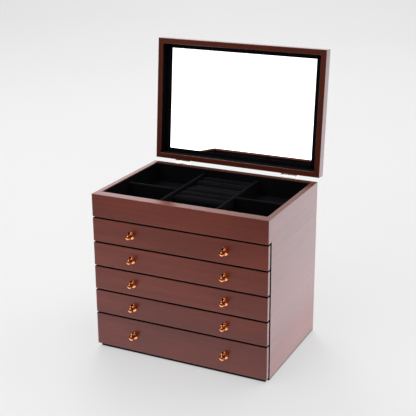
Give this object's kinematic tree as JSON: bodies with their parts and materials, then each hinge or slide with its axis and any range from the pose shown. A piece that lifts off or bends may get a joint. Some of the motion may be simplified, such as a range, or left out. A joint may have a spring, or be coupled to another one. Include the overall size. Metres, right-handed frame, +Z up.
{
  "type": "jewellery chest with drawers",
  "caption": "Wooden jewellery chest: sliding drawers with round knobs under a velvet-lined tray with dividers and ring rolls, and a hinged lid that holds a mirror.",
  "frame": {"origin": "centre of the underside of the base felt, on the table", "axes": "+Z up, +X to the right seen from the front, -Y towards the front, where the drawers open"},
  "size_m": [0.3, 0.2617, 0.4751],
  "materials": {
    "lacquered_wood": "reddish-brown stain under satin lacquer, fine grain",
    "inner_wood": "matt stained wood inside the case and on the drawer boxes",
    "velvet": "black short-pile velvet",
    "felt": "black pressed felt",
    "copper": "polished rose-copper plating",
    "hinge_metal": "bright nickel plating",
    "screw_steel": "plain zinc-plated steel",
    "mirror_glass": "silvered flat glass"
  },
  "bodies": {
    "body": {"side_panel_left": "lacquered_wood", "side_panel_right": "lacquered_wood", "back_panel": "lacquered_wood", "base_board": "inner_wood", "base_felt": "felt", "top_fascia": "lacquered_wood", "tray_front_rail": "lacquered_wood", "tray_floor": "inner_wood", "drawer_shelves": "inner_wood", "tray_lining": "velvet", "tray_divider_left": "velvet", "tray_divider_right": "velvet", "tray_cross_dividers": "velvet", "ring_rolls": "velvet", "ring_pad": "velvet", "hinge_left_body_leaf": "hinge_metal", "hinge_right_body_leaf": "hinge_metal", "hinge_pins": "hinge_metal", "hinge_body_screws": "screw_steel"},
    "lid": {"lid_rail_front": "lacquered_wood", "lid_rail_back": "lacquered_wood", "lid_rail_left": "lacquered_wood", "lid_rail_right": "lacquered_wood", "lid_panel": "lacquered_wood", "lid_lining": "velvet", "mirror": "mirror_glass", "mirror_surround": "velvet", "hinge_left_lid_leaf": "hinge_metal", "hinge_right_lid_leaf": "hinge_metal", "hinge_lid_screws": "screw_steel"},
    "drawer_1": {"drawer_1_front": "lacquered_wood", "drawer_1_box": "inner_wood", "drawer_1_bottom": "inner_wood", "drawer_1_lining": "velvet", "drawer_1_knobs": "copper", "drawer_1_screws": "screw_steel"},
    "drawer_2": {"drawer_2_front": "lacquered_wood", "drawer_2_box": "inner_wood", "drawer_2_bottom": "inner_wood", "drawer_2_lining": "velvet", "drawer_2_knobs": "copper", "drawer_2_screws": "screw_steel"},
    "drawer_3": {"drawer_3_front": "lacquered_wood", "drawer_3_box": "inner_wood", "drawer_3_bottom": "inner_wood", "drawer_3_lining": "velvet", "drawer_3_knobs": "copper", "drawer_3_screws": "screw_steel"},
    "drawer_4": {"drawer_4_front": "lacquered_wood", "drawer_4_box": "inner_wood", "drawer_4_bottom": "inner_wood", "drawer_4_lining": "velvet", "drawer_4_knobs": "copper", "drawer_4_screws": "screw_steel"},
    "drawer_5": {"drawer_5_front": "lacquered_wood", "drawer_5_box": "inner_wood", "drawer_5_bottom": "inner_wood", "drawer_5_lining": "velvet", "drawer_5_knobs": "copper", "drawer_5_screws": "screw_steel"}
  },
  "joints": [
    {"name": "lid_hinge", "type": "hinge", "parent": "body", "child": "lid", "pos_m": [0, 0.1074, 0.2655], "axis": [1, 0, 0], "range_deg": [0, 95]},
    {"name": "drawer_1_slide", "type": "slide", "parent": "body", "child": "drawer_1", "axis": [0, -1, 0], "range_m": [0, 0.15]},
    {"name": "drawer_2_slide", "type": "slide", "parent": "body", "child": "drawer_2", "axis": [0, -1, 0], "range_m": [0, 0.15]},
    {"name": "drawer_3_slide", "type": "slide", "parent": "body", "child": "drawer_3", "axis": [0, -1, 0], "range_m": [0, 0.15]},
    {"name": "drawer_4_slide", "type": "slide", "parent": "body", "child": "drawer_4", "axis": [0, -1, 0], "range_m": [0, 0.15]},
    {"name": "drawer_5_slide", "type": "slide", "parent": "body", "child": "drawer_5", "axis": [0, -1, 0], "range_m": [0, 0.15]}
  ]
}
